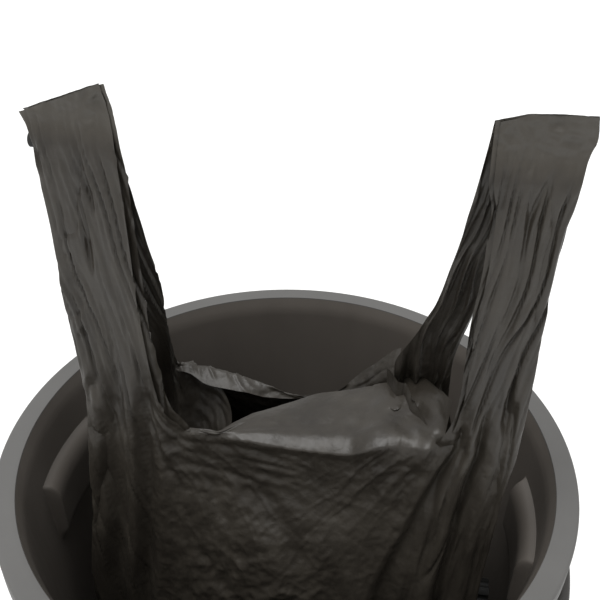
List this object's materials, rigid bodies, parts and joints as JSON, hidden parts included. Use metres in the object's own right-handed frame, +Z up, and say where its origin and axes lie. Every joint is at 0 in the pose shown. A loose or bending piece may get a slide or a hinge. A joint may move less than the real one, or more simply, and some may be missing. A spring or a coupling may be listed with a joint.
{
  "type": "plastic bag holder",
  "caption": "Round tapered bin with a rim ring and finger pockets, holding a two-post frame whose adjustable arms carry a T-shirt bag open by its handles.",
  "frame": {"origin": "centre of the bin's underside, on the surface it stands on", "axes": "+Z up along the bin's axis, X through both posts and both side handles, -Y towards the front of the bag"},
  "size_m": [0.418, 0.4, 0.686],
  "materials": {
    "bin_plastic": "moulded, fine grain",
    "rim_plastic": "moulded, satin",
    "rivet_plastic": "moulded, matt",
    "frame_paint": "powder coated",
    "tube_steel": "brushed",
    "zinc_steel": "zinc plated",
    "black_plastic": "fine grain",
    "pad_rubber": "matt",
    "bag_film": "thin crinkled film"
  },
  "bodies": {
    "bin": {"bin_shell": "bin_plastic", "rim_ring": "rim_plastic", "side_handle_left": "bin_plastic", "side_handle_right": "bin_plastic", "handle_rivets": "rivet_plastic"},
    "frame": {"base_plate": "frame_paint", "base_pads": "pad_rubber", "socket_left": "frame_paint", "socket_right": "frame_paint", "socket_screws": "zinc_steel", "lower_tube_left": "tube_steel", "lower_tube_right": "tube_steel", "guide_bush_left": "black_plastic", "guide_bush_right": "black_plastic", "clamp_collar_left": "black_plastic", "clamp_collar_right": "black_plastic"},
    "knob_left": {"clamp_knob_left": "black_plastic", "clamp_screw_left": "zinc_steel"},
    "knob_right": {"clamp_knob_right": "black_plastic", "clamp_screw_right": "zinc_steel"},
    "arm_left": {"upper_tube_left": "tube_steel", "tee_head_left": "black_plastic", "crossbar_left": "tube_steel", "bar_caps_left": "pad_rubber"},
    "arm_right": {"upper_tube_right": "tube_steel", "tee_head_right": "black_plastic", "crossbar_right": "tube_steel", "bar_caps_right": "pad_rubber"},
    "bag": {"bag_front_panel": "bag_film", "bag_back_panel": "bag_film", "bag_side_pleats": "bag_film", "bag_handle_left": "bag_film", "bag_handle_right": "bag_film"}
  },
  "joints": [
    {"name": "frame_lift", "type": "slide", "parent": "bin", "child": "frame", "axis": [0, 0, 1], "range_m": [0, 0.45]},
    {"name": "knob_left_turn", "type": "hinge", "parent": "frame", "child": "knob_left", "pos_m": [-0.154, 0, 0.301], "axis": [-1, 0, 0], "range_deg": [0, 720]},
    {"name": "knob_right_turn", "type": "hinge", "parent": "frame", "child": "knob_right", "pos_m": [0.154, 0, 0.301], "axis": [1, 0, 0], "range_deg": [0, 720]},
    {"name": "arm_left_slide", "type": "slide", "parent": "frame", "child": "arm_left", "axis": [0, 0, 1], "range_m": [-0.04, 0.1]},
    {"name": "arm_right_slide", "type": "slide", "parent": "frame", "child": "arm_right", "axis": [0, 0, 1], "range_m": [-0.04, 0.1]},
    {"name": "bag_lift", "type": "slide", "parent": "arm_left", "child": "bag", "axis": [0, 0, 1], "range_m": [0, 0.57]}
  ],
  "couplings": [
    {"joint": "arm_right_slide", "follows": "arm_left_slide", "ratio": 1}
  ]
}
